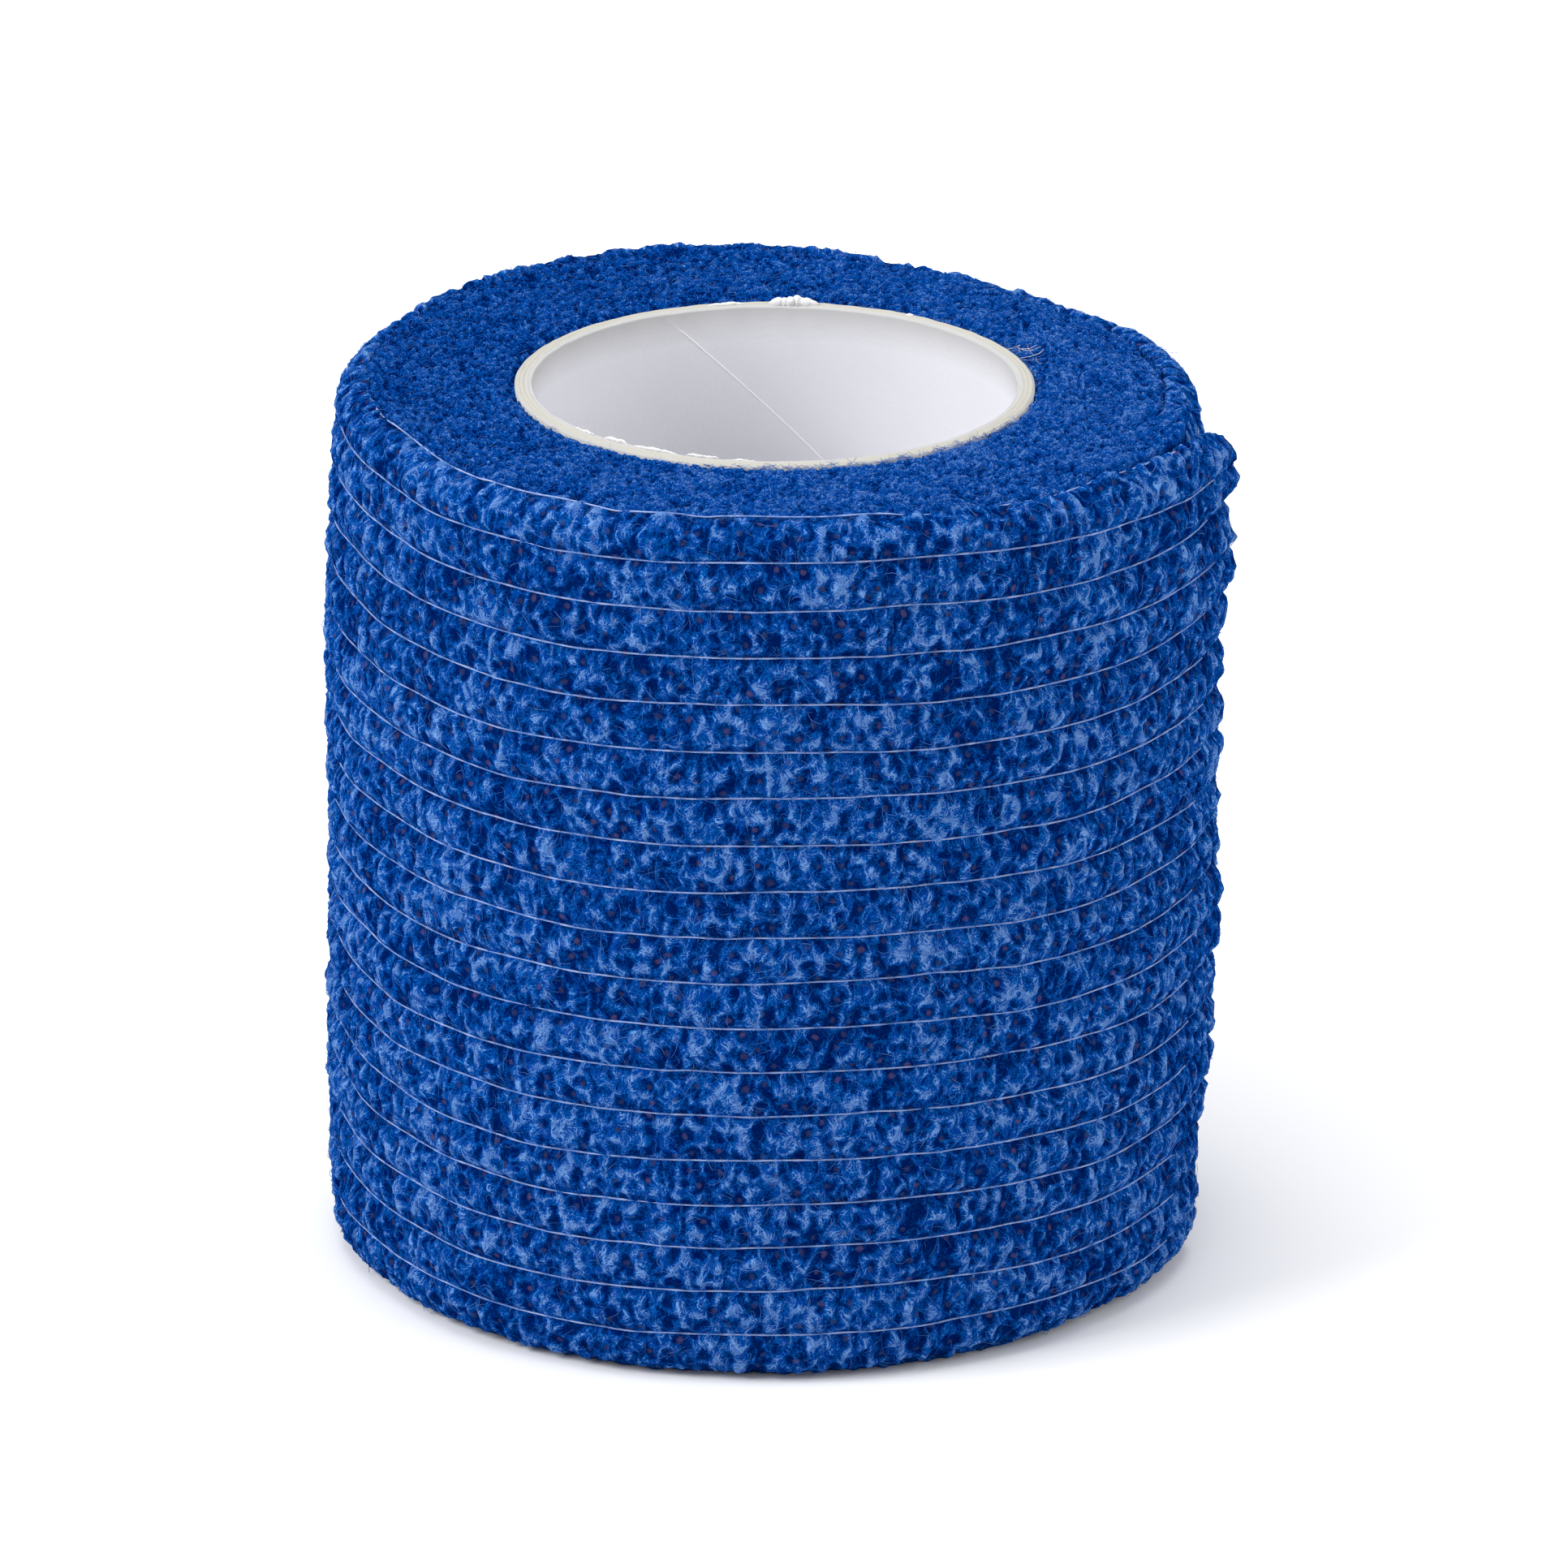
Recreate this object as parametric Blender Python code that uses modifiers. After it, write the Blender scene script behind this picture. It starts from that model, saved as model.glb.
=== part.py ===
"""A roll of cohesive elastic tape that stands on its end, wound on a cardboard core.

Metres, +Z up. The origin is the middle of the base. The roll is seen from -Y, with the free end
of the tape just in front of its right side, at +X.
"""

import math

import bpy

ROLL_NAME = "sock_tape_roll"

# Driving sizes of the roll
TAPE_WIDTH = 0.050
ROLL_RADIUS = 0.0249
CORE_RADIUS = 0.0146
CORE_WALL = 0.0011
CORE_CLEARANCE = 0.0003
LAYER_THICKNESS = 0.0005

# The roll narrows softly towards both ends, by this much over about this height
TOP_NARROWING = 0.00065
TOP_NARROWING_HEIGHT = 0.0025
BASE_NARROWING = 0.0005
BASE_NARROWING_HEIGHT = 0.0020

# Below the upper of these heights the wall at +X leans in, and from the lower one by the whole lean
BASE_LEAN = 0.0007
LEAN_TOP = 0.014
LEAN_FULL = 0.006

# Elastic threads that run along the tape and pinch its outer wall into soft bands
THREAD_COUNT = 18
LOWEST_THREAD = 0.0028
HIGHEST_THREAD = 0.0478
THREAD_CROWDING = 0.04
PINCH_DEPTH = 0.00022

# Rims and the flat rings that the roll stands on at either end
TOP_RIM = 0.0009
BASE_RIM = 0.0006
RIM_ARC_STEPS = 3
FLAT_RING_RADIUS = 0.0222

# The top rim sags a little in waves, and more at the loose corner of the free end. The wall
# below follows it down to about this depth.
RIM_DROOP = 0.00025
CORNER_DROOP = 0.0013
DROOP_DEPTH = 0.010

# Waves of the sagging rim, in rows of (waves round the roll, phase, share of the droop)
RIM_WAVES = (
    (5, 1.0, 0.3),
    (11, 0.0, 0.2),
)

# Steps round the roll
TAPE_STEPS = 88
CORE_STEPS = 72
CORE_EDGE_BEVEL = 0.00012

# Free end of the tape: an edge midway between two of the steps, and the stretch before it that
# has lifted off the roll
STEP_ANGLE = 2.0 * math.pi / TAPE_STEPS
FREE_END_ANGLE = -2.5 * STEP_ANGLE
FREE_END_HALF_WIDTH = math.radians(0.35)
LIFTED_STRETCH = math.radians(34.0)

# How far the free end stands off the roll, in rows of (height on the roll, lift)
FREE_END_LIFT = (
    (0.0000, 0.00002),
    (0.0170, 0.00005),
    (0.0213, 0.00045),
    (0.0250, 0.00010),
    (0.0370, 0.00012),
    (0.0425, 0.00080),
    (0.0442, 0.00035),
    (0.0475, 0.00095),
    (0.0500, 0.00080),
)

# Unevenness of a hand wound roll, in rows of (waves round the roll, waves up it, phase, height)
UNEVENNESS = (
    (2, 0.3, 0.6, 0.00008),
    (3, -0.5, 2.1, 0.00006),
    (7, 1.2, 4.0, 0.00005),
    (13, -2.0, 1.3, 0.00005),
    (19, 3.0, 5.2, 0.00004),
)


def thread_heights():
    """Heights of the elastic threads, which lie a little closer together towards the base."""
    heights = []
    for index in range(THREAD_COUNT):
        share = index / (THREAD_COUNT - 1)
        share += THREAD_CROWDING * share * (share - 1.0)
        heights.append(LOWEST_THREAD + (HIGHEST_THREAD - LOWEST_THREAD) * share)
    return heights


def rim_arc(centre_radius, centre_height, size, start_angle, end_angle):
    """Points of a rounded rim, from one angle to the other."""
    points = []
    for step in range(RIM_ARC_STEPS + 1):
        angle = start_angle + (end_angle - start_angle) * step / RIM_ARC_STEPS
        radius = centre_radius + size * math.cos(angle)
        points.append((radius, centre_height + size * math.sin(angle)))
    return points


def tape_profile():
    """Section of the wound tape as (radius, height), from the bore over the top and down."""
    bore_radius = CORE_RADIUS + CORE_CLEARANCE
    quarter = math.pi / 2.0
    points = [(bore_radius, TAPE_WIDTH), (FLAT_RING_RADIUS, TAPE_WIDTH)]
    points += rim_arc(ROLL_RADIUS - TOP_RIM, TAPE_WIDTH - TOP_RIM, TOP_RIM, quarter, 0.0)
    band_top = TAPE_WIDTH - TOP_RIM
    for height in reversed(thread_heights()):
        points.append((ROLL_RADIUS, (band_top + height) / 2.0))
        points.append((ROLL_RADIUS - PINCH_DEPTH, height))
        band_top = height
    points.append((ROLL_RADIUS, (band_top + BASE_RIM) / 2.0))
    points += rim_arc(ROLL_RADIUS - BASE_RIM, BASE_RIM, BASE_RIM, 0.0, -quarter)
    points += [(FLAT_RING_RADIUS, 0.0), (bore_radius, 0.0)]
    return points


def core_profile():
    """Section of the core tube, with its cut edges slightly broken."""
    inner = CORE_RADIUS - CORE_WALL
    low = CORE_EDGE_BEVEL
    high = TAPE_WIDTH - CORE_EDGE_BEVEL
    return [
        (inner + low, TAPE_WIDTH),
        (CORE_RADIUS - low, TAPE_WIDTH),
        (CORE_RADIUS, high),
        (CORE_RADIUS, low),
        (CORE_RADIUS - low, 0.0),
        (inner + low, 0.0),
        (inner, low),
        (inner, high),
    ]


def turned_object(name, profile, steps, collection):
    """A closed profile turned about Z by a Screw modifier."""
    mesh = bpy.data.meshes.new(name)
    points = [(radius, 0.0, height) for radius, height in profile]
    edges = [(index, (index + 1) % len(points)) for index in range(len(points))]
    mesh.from_pydata(points, edges, [])
    turned = bpy.data.objects.new(name, mesh)
    collection.objects.link(turned)
    screw = turned.modifiers.new("Turn", "SCREW")
    screw.axis = "Z"
    screw.angle = 2.0 * math.pi
    screw.steps = steps
    screw.render_steps = steps
    screw.use_smooth_shade = True
    return turned


def apply_modifiers(shaped):
    """Replace an object's mesh with the one that its modifiers make."""
    depsgraph = bpy.context.evaluated_depsgraph_get()
    finished = bpy.data.meshes.new_from_object(shaped.evaluated_get(depsgraph))
    finished.name = shaped.name
    draft = shaped.data
    shaped.modifiers.clear()
    shaped.data = finished
    bpy.data.meshes.remove(draft)


def from_table(table, place):
    """Value at a place in a table of (place, value) rows, eased between the rows."""
    for (low, low_value), (high, high_value) in zip(table, table[1:]):
        if place <= high:
            share = max(0.0, (place - low) / (high - low))
            share = share * share * (3.0 - 2.0 * share)
            return low_value + (high_value - low_value) * share
    return table[-1][1]


def share_between(value, low, high):
    """How far a value lies from low to high, held between 0 and 1."""
    return max(0.0, min(1.0, (value - low) / (high - low)))


def gathered_at_end(angle):
    """Move the two steps either side of the free end together, so that its edge is steep."""
    away = (angle - FREE_END_ANGLE + math.pi) % (2.0 * math.pi) - math.pi
    if abs(away) < 0.75 * STEP_ANGLE:
        away = math.copysign(FREE_END_HALF_WIDTH, away)
    return FREE_END_ANGLE + away


def lifted_share(angle):
    """How loose the tape is at an angle: 1 at the free end, and 0 where it lies tight."""
    turned = (angle - FREE_END_ANGLE) % (2.0 * math.pi)
    return max(0.0, 1.0 - (2.0 * math.pi - turned) / LIFTED_STRETCH) ** 2


def outer_wall_offset(angle, height):
    """How far the outer wall lies from the roll's mean radius at an angle and a height."""
    turned = (angle - FREE_END_ANGLE) % (2.0 * math.pi)
    offset = LAYER_THICKNESS * (turned / (2.0 * math.pi) - 0.5)
    offset += from_table(FREE_END_LIFT, height) * lifted_share(angle)
    offset -= TOP_NARROWING * math.exp((height - TAPE_WIDTH) / TOP_NARROWING_HEIGHT)
    offset -= BASE_NARROWING * math.exp(-height / BASE_NARROWING_HEIGHT)
    upright = share_between(height, LEAN_FULL, LEAN_TOP)
    upright = upright * upright * (3.0 - 2.0 * upright)
    offset -= BASE_LEAN * (1.0 - upright) * max(0.0, math.cos(angle))
    for waves_round, waves_up, phase, size in UNEVENNESS:
        turn = waves_round * angle + 2.0 * math.pi * waves_up * height / TAPE_WIDTH
        offset += size * math.sin(turn + phase)
    return offset


def top_droop(angle, height, outwards):
    """How far a point sags with the top rim; outwards is 0 on the flat ring and 1 at the wall."""
    share = 0.5
    for waves_round, phase, size in RIM_WAVES:
        share += size * math.sin(waves_round * angle + phase)
    droop = RIM_DROOP * share + CORNER_DROOP * lifted_share(angle) * outwards
    follows = max(0.0, 1.0 - (TAPE_WIDTH - height) / DROOP_DEPTH)
    return droop * outwards * follows * follows


def wind(tape):
    """Turn the plain ring into the wound form: its spiral, free end, rims and unevenness."""
    for vertex in tape.data.vertices:
        radius = math.hypot(vertex.co.x, vertex.co.y)
        height = vertex.co.z
        angle = gathered_at_end(math.atan2(vertex.co.y, vertex.co.x))
        from_bore = share_between(radius, CORE_RADIUS + CORE_CLEARANCE, ROLL_RADIUS)
        from_flat = share_between(radius, FLAT_RING_RADIUS, ROLL_RADIUS)
        vertex.co.z -= top_droop(angle, height, from_flat)
        radius += from_bore * from_bore * outer_wall_offset(angle, height)
        vertex.co.x = radius * math.cos(angle)
        vertex.co.y = radius * math.sin(angle)


def plain_material(name, colour, roughness):
    """A plain surface of one colour."""
    material = bpy.data.materials.new(name)
    material.use_nodes = True
    shader = material.node_tree.nodes["Principled BSDF"]
    shader.inputs["Base Color"].default_value = (*colour, 1.0)
    shader.inputs["Roughness"].default_value = roughness
    shader.inputs["Metallic"].default_value = 0.0
    return material


def build_tape(collection):
    """The wound tape, one closed ring from the core to the outermost turn."""
    tape = turned_object("wound_tape", tape_profile(), TAPE_STEPS, collection)
    apply_modifiers(tape)
    wind(tape)
    tape.data.materials.append(plain_material("tape_blue", (0.012, 0.075, 0.36), 0.9))
    return tape


def build_core(collection):
    """The cardboard tube that the tape is wound on."""
    core = turned_object("core", core_profile(), CORE_STEPS, collection)
    core.data.materials.append(plain_material("core_card", (0.86, 0.86, 0.85), 0.8))
    return core


def stand_on_origin(tape, pieces):
    """Put the middle of the base at the origin, since the loose end makes one side wider."""
    for axis in (0, 1):
        values = [vertex.co[axis] for vertex in tape.data.vertices]
        middle = (min(values) + max(values)) / 2.0
        for piece in pieces:
            piece.location[axis] = -middle


def main():
    for old in list(bpy.data.objects):
        bpy.data.objects.remove(old, do_unlink=True)
    collection = bpy.data.collections.new(ROLL_NAME)
    bpy.context.scene.collection.children.link(collection)
    tape = build_tape(collection)
    core = build_core(collection)
    stand_on_origin(tape, (tape, core))


main()
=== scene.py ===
"""The looks of a roll of cohesive elastic tape that stands on its end, on a cardboard core.

Lengths are in millimetres, measured from the roll's own axis, until a mesh is written in metres.
Angles run anticlockwise from +X seen from above. The camera stands at -Y and looks along +Y. The
tape's outermost turn is followed by a number of turns, which is 0 at the free end and negative
before it, by the distance along the tape, and by how far up the tape's width a place lies.
"""

import math

import bpy
import numpy as np
from mathutils import Matrix, Vector


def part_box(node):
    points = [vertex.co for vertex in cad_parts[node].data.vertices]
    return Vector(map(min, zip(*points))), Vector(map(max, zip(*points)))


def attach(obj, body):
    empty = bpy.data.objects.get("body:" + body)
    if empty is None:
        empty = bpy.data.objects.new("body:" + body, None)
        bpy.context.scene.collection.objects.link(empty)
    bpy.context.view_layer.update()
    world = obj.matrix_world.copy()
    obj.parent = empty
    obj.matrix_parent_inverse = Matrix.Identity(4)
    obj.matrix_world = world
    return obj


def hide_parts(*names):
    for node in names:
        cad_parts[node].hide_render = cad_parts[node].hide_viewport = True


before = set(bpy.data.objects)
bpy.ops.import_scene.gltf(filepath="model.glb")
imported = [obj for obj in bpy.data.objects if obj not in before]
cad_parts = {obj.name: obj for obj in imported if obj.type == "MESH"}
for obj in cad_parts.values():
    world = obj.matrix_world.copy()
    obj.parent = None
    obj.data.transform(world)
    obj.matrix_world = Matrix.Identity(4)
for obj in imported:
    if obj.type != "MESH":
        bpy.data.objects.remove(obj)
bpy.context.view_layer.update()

# Sizes read from the frame
MM = 0.001
core_low, core_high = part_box("core")
tape_low, tape_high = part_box("wound_tape")
AXIS_X = (core_low.x + core_high.x) / 2.0 / MM
AXIS_Y = (core_low.y + core_high.y) / 2.0 / MM
CORE_RADIUS = (core_high.x - core_low.x) / 2.0 / MM
ROLL_HEIGHT = core_high.z / MM
ROLL_RADIUS = (tape_high.y - tape_low.y) / 2.0 / MM

# The tape as wound
LAYER = 0.5
CLOTH_THICKNESS = 0.45
TAPE_WIDTH = ROLL_HEIGHT + 1.0
FREE_END_ANGLE = math.radians(-10.2)
FIRST_TURN = -1.12
SPLIT_TURN = -0.56

# The stretch before the free end that has lifted off the roll, and how its upper corner droops
LIFTED_TURNS = 34.0 / 360.0
CORNER_DROOP = 1.55
DROOP_DEPTH = 10.0

# Where the free end lies on the outermost turn, it presses the crinkles flat
PRESSED_TO = -0.993
PRESSED_FADE = 0.012
PRESSED_DEPTH = 0.3

# The core's visible wall. Its outside is this much smaller than in the frame.
CORE_WALL = 1.1
CORE_SHRINK = 0.12
TURN_LENGTH = math.tau * ROLL_RADIUS

# Below the upper of these heights the wall at +X leans in, and from the lower one by all of it
BASE_LEAN = 0.7
LEAN_TOP = 14.0
LEAN_FULL = 6.0

# The tape was wound a little askew: it tilts down to the right and wavers in a few waves
SLANT = 0.15
SWAY = 0.26
SWAY_WAVES = 4
SWAY_PEAK = math.radians(279.0)
LEVEL_BASE = 5.0

# Both edges of the tape curl inwards over the rims, within this distance of the edge
RIM_REACH = 3.2
BASE_CURL = 0.42
BASE_CURL_RIGHT = 0.08

# How far the upper edge curls, in rows of (turn, share of a quarter turn)
RIM_CURL = (
    (-1.12, 0.95),
    (-0.86, 1.05),
    (-0.79, 0.82),
    (-0.71, 0.62),
    (-0.60, 0.42),
    (-0.50, 0.76),
    (-0.36, 0.88),
    (-0.23, 1.00),
    (-0.13, 1.00),
    (-0.08, 0.70),
    (-0.035, 0.25),
    (-0.012, 0.50),
    (0.0, 0.62),
)

# How far the wall leans in at its upper edge, in rows of (turn, lean), from a height upwards
TOP_LEAN = (
    (-1.12, 0.75),
    (-0.90, 0.95),
    (-0.80, 0.60),
    (-0.68, 0.25),
    (-0.60, 0.28),
    (-0.46, 0.62),
    (-0.34, 0.45),
    (-0.24, 0.0),
)
LEAN_START = 32.0

# The tape's edges and its free end are a little ragged, and its outer corners are rounded
EDGE_INSET = 0.02
RAGGED = 0.34
RAGGED_BASE = 0.16
CORNER_ROUNDING = 0.22
CORNER_REACH = 0.5
INSIDE_INSET = 0.06
INSIDE_LEVEL = 0.4

# Elastic threads: 18 up the wall and one more on its rim, which shows only on the near side
THREAD_COUNT = 18
LOWEST_THREAD = 2.8
HIGHEST_THREAD = 47.8
RIM_THREAD = TAPE_WIDTH - 0.2
THREAD_CROWDING = 0.04
THREAD_START = -0.99
RIM_THREAD_START = -0.44
THREAD_STEPS = 420
THREAD_RADIUS = 0.052
THREAD_PROUD = 0.045
KNOT_SPACING = 2.1
KNOT_SIZE = 0.4

# How much the threads wander up and down, and over what length
WANDER = 0.32
WANDER_LENGTH = 9.0
RIPPLE = 0.10
RIPPLE_LENGTH = 1.7

# How far the free end stands off the roll, in rows of (place up the tape, lift)
FREE_END_LIFT = (
    (0.0, 0.02),
    (17.0, 0.05),
    (21.3, 0.45),
    (25.0, 0.10),
    (37.0, 0.12),
    (42.5, 0.80),
    (44.2, 0.35),
    (47.5, 0.95),
    (50.8, 0.80),
)

# Unevenness of a hand wound roll, in rows of (waves round the roll, waves up it, phase, height)
UNEVENNESS = (
    (2, 0.3, 0.6, 0.08),
    (3, -0.5, 2.1, 0.06),
    (7, 1.2, 4.0, 0.05),
    (13, -2.0, 1.3, 0.05),
    (19, 3.0, 5.2, 0.04),
)

# The cloth's own relief: grooves along the threads, bulging bands between them, and crinkles
THREAD_GROOVE = 0.34
GROOVE_DEPTH = 0.20
HALF_BAND = 1.35
BULGE = 0.17
CRINKLE = 0.45
PIT_RADIUS = 0.42

# Pattern pressed into the cloth, which leaves a dot of glue in the middle of most cells
CELL_WIDTH = 1.75
CELL_HEIGHT = 1.0
CELLS_WITHOUT_DOT = 0.40
FAR_OFF = 9.0

# Grids of the modelled cloth
NEAR_COLUMNS = 430
FAR_COLUMNS = 380
WALL_ROWS = 226
FACE_COLUMNS = 850
FACE_RINGS = 110
BODY_COLUMNS = 340
BASE_RINGS = 40
CORE_COLUMNS = 400

# Relief of the felted end faces
FACE_GRAIN = 0.22
FACE_LUMP = 1.5
FACE_RISE = 0.05
FACE_RELIEF = 0.34
BASE_RELIEF = 0.24

# The upper face slopes to the rim, with lumps, and drops at its edge and beside the core
RIM_SLOPE = 3.4
RIM_LUMPS = 0.6
EDGE_DROP = 0.22
EDGE_DROP_REACH = 0.4
CORE_DROP = 0.34
CORE_DROP_REACH = 0.7

# The upper face is a slab over the turns inside: depths of its underside and of their top
SLAB_DEPTHS = (1.0, 2.5)
BODY_DEPTH = 1.2
HIDDEN_OVERLAP = 0.05

# The turns inside stop this far short of the outermost one's lower edge
BASE_STEP = 0.4

# The end face is painted paler towards this side and darker away from it, as painted light
PAINTED_LIGHT_CHANGE = 0.09
PAINTED_LIGHT_SIDE = math.radians(-37.0)

# Fine fibres: their radii, and how many lie on each stretch of the wall and on the upper face
FIBRE_RADIUS = (0.013, 0.023)
FAR_FIBRES = 2200
NEAR_FIBRES = 3600
FACE_FIBRES = 3600

# Level of the relief that gives hidden surfaces their shade
HIDDEN_LEVEL = 0.2


def lattice(x, y, seed):
    """A repeatable number from 0 to 1 for each whole-numbered place."""
    mixed = (x * 374761393 + y * 668265263 + seed * 1442695041) & 0xFFFFFFFF
    mixed = ((mixed ^ (mixed >> 13)) * 1274126177) & 0xFFFFFFFF
    return ((mixed ^ (mixed >> 16)) & 0xFFFF) / 65535.0


def noise(x, y, seed):
    """Smooth noise from 0 to 1 with one bump per unit."""
    x0 = np.floor(x).astype(np.int64)
    y0 = np.floor(y).astype(np.int64)
    fx = x - x0
    fy = y - y0
    fx = fx * fx * (3.0 - 2.0 * fx)
    fy = fy * fy * (3.0 - 2.0 * fy)
    low = lattice(x0, y0, seed) * (1.0 - fx) + lattice(x0 + 1, y0, seed) * fx
    high = lattice(x0, y0 + 1, seed) * (1.0 - fx) + lattice(x0 + 1, y0 + 1, seed) * fx
    return low * (1.0 - fy) + high * fy


def clouds(x, y, seed, octaves=3):
    """Noise from 0 to 1 with finer and fainter bumps added."""
    total = np.zeros(np.broadcast(x, y).shape)
    weight = 1.0
    weights = 0.0
    for octave in range(octaves):
        total += weight * noise(x * 2.0**octave, y * 2.0**octave, seed + octave)
        weights += weight
        weight *= 0.5
    return total / weights


def cells(x, y, seed, jitter=0.34):
    """Staggered, uneven cells. Gives the way from each place to its cell's middle as two lengths,
    how far it is from the next cell, and a number of the cell's own."""
    row = np.floor(y).astype(np.int64)
    shape = np.shape(x)
    nearest = np.full(shape, FAR_OFF)
    second = np.full(shape, FAR_OFF)
    own = np.zeros(shape)
    across = np.zeros(shape)
    upward = np.zeros(shape)
    for step_y in (-1, 0, 1):
        j = row + step_y
        shifted = x - 0.5 * (j % 2)
        column = np.floor(shifted).astype(np.int64)
        for step_x in (-1, 0, 1):
            i = column + step_x
            away_x = i + 0.5 + jitter * (2.0 * lattice(i, j, seed) - 1.0) - shifted
            away_y = j + 0.5 + jitter * (2.0 * lattice(i, j, seed + 1) - 1.0) - y
            distance = np.hypot(away_x * CELL_WIDTH, away_y * CELL_HEIGHT)
            closer = distance < nearest
            second = np.where(closer, nearest, np.minimum(second, distance))
            own = np.where(closer, lattice(i, j, seed + 2), own)
            across = np.where(closer, away_x * CELL_WIDTH, across)
            upward = np.where(closer, away_y * CELL_HEIGHT, upward)
            nearest = np.where(closer, distance, nearest)
    return across, upward, second - nearest, own


def eased(value):
    """A value held between 0 and 1 and eased at both ends."""
    value = np.clip(value, 0.0, 1.0)
    return value * value * (3.0 - 2.0 * value)


def smooth_table(table, places):
    """Values at some places from a table of (place, value) rows, eased between the rows."""
    values = np.full(np.shape(places), float(table[0][1]))
    for (low, low_value), (high, high_value) in zip(table, table[1:]):
        values += (high_value - low_value) * eased((places - low) / (high - low))
    return values


def thread_height(index, along):
    """How far up the tape one elastic thread lies. It wanders and ripples a little."""
    if index == THREAD_COUNT:
        height = RIM_THREAD
    else:
        share = index / (THREAD_COUNT - 1)
        share += THREAD_CROWDING * share * (share - 1.0)
        height = LOWEST_THREAD + (HIGHEST_THREAD - LOWEST_THREAD) * share
    wander = noise(along / WANDER_LENGTH, 0.5, 40 + index) - 0.5
    ripple = noise(along / RIPPLE_LENGTH, 0.5, 70 + index) - 0.5
    return height + WANDER * wander + RIPPLE * ripple


def nearest_thread(along, up):
    """Distance to the nearest thread below the rim's, and the number of them below each place."""
    distance = np.full(np.shape(up), FAR_OFF)
    below = np.zeros(np.shape(up), dtype=np.int64)
    for index in range(THREAD_COUNT):
        away = up - thread_height(index, along)
        distance = np.minimum(distance, np.abs(away))
        below += away > 0.0
    return distance, below


def cloth_relief(along, up):
    """Shape of the crinkled cloth: it puffs up away from the threads, in lumps, upright creases
    and cells with a pit. Gives how far its surface stands out, how high each place is in the
    relief from 0 to 1, where it lies in its cell of the pressed pattern, and the cell's own
    number."""
    near, band = nearest_thread(along, up)
    puff = 1.0 - np.exp(-((near / THREAD_GROOVE) ** 2))
    bulge = 1.0 - (1.0 - np.minimum(near / HALF_BAND, 1.0)) ** 2
    drift = 0.5 * (clouds(along / 2.1, up / 2.1, 3) - 0.5)
    drift_up = 0.5 * (clouds(along / 1.9, up / 1.7, 9) - 0.5)
    across, upward, edge, own = cells(along / CELL_WIDTH + drift, up / CELL_HEIGHT + drift_up, 17)
    ridge = 1.0 - np.clip(edge / PIT_RADIUS, 0.0, 1.0)
    pit = np.exp(-(across**2 + upward**2) / PIT_RADIUS**2)
    crease = noise(along / 0.42 + 3.7 * band, up / 1.25 + 5.3 * band, 23)
    lumps = clouds(along / 0.50, up / 0.85, 29)
    level = 0.22 * ridge + 0.55 * crease + 0.75 * lumps - 0.30 * pit * (0.3 + own) - 0.24
    level = np.clip(level * (0.70 + 0.30 * puff), 0.0, 1.0)
    out = BULGE * bulge - GROOVE_DEPTH * (1.0 - puff) - 0.12
    out = out + CRINKLE * (level - 0.45) * (0.25 + 0.75 * puff)
    across = np.where(own > CELLS_WITHOUT_DOT, across, FAR_OFF)
    return out, level, np.stack([across, upward, edge], axis=-1), own


def curl(reach, share):
    """Bend of cloth that curls by a share of a quarter turn over RIM_REACH. Gives how far it
    leans, how far it has moved inwards and how far it has gone on, at a distance into the curl."""
    lean = np.maximum(share * (math.pi / 2.0) * reach / RIM_REACH, 1e-6)
    inward = reach * (1.0 - np.cos(lean)) / lean
    onward = reach * np.sin(lean) / lean
    return lean, inward, onward


def loose_share(turn):
    """How loose the tape is: 1 at the free end, and 0 where it lies tight."""
    return np.clip(1.0 + turn / LIFTED_TURNS, 0.0, 1.0) ** 2


def wall_place(turn, up, out, loose=1.0):
    """Radius and height of a place on the outermost turn, a distance out from its surface."""
    angle = FREE_END_ANGLE + math.tau * turn
    radius = ROLL_RADIUS + LAYER * (turn + 0.5)
    for waves_round, waves_up, phase, size in UNEVENNESS:
        wave = waves_round * angle + math.tau * waves_up * up / ROLL_HEIGHT
        radius = radius + size * np.sin(wave + phase)
    upright = eased((up - LEAN_FULL) / (LEAN_TOP - LEAN_FULL))
    radius = radius - BASE_LEAN * (1.0 - upright) * np.maximum(np.cos(angle), 0.0)
    near_top = eased((up - LEAN_START) / (TAPE_WIDTH - LEAN_START))
    radius = radius - smooth_table(TOP_LEAN, turn) * near_top
    lifted = loose * loose_share(turn)
    radius = radius + smooth_table(FREE_END_LIFT, up) * lifted
    above = np.maximum(up - (TAPE_WIDTH - RIM_REACH), 0.0)
    below = np.maximum(RIM_REACH - up, 0.0)
    lean_up, inward_up, onward_up = curl(above, smooth_table(RIM_CURL, turn))
    base_curl = BASE_CURL + BASE_CURL_RIGHT * np.maximum(np.cos(angle), 0.0)
    lean_down, inward_down, onward_down = curl(below, base_curl)
    lean = lean_up - lean_down
    height = np.clip(up, RIM_REACH, TAPE_WIDTH - RIM_REACH) + onward_up - onward_down
    follows = np.clip(1.0 - (TAPE_WIDTH - up) / DROOP_DEPTH, 0.0, 1.0) ** 2
    height = height - CORNER_DROOP * lifted * follows + out * np.sin(lean)
    askew = SWAY * np.cos(SWAY_WAVES * (angle - SWAY_PEAK)) - SLANT * np.cos(angle)
    height = height + askew * eased(up / LEVEL_BASE)
    radius = radius - inward_up - inward_down + out * np.cos(lean)
    return radius, height


def on_roll(angle, radius, height):
    """Places in the row frame, in metres, from angle, radius and height."""
    x = AXIS_X + radius * np.cos(angle)
    y = AXIS_Y + radius * np.sin(angle)
    return np.stack(np.broadcast_arrays(x, y, height), axis=-1) * MM


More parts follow.
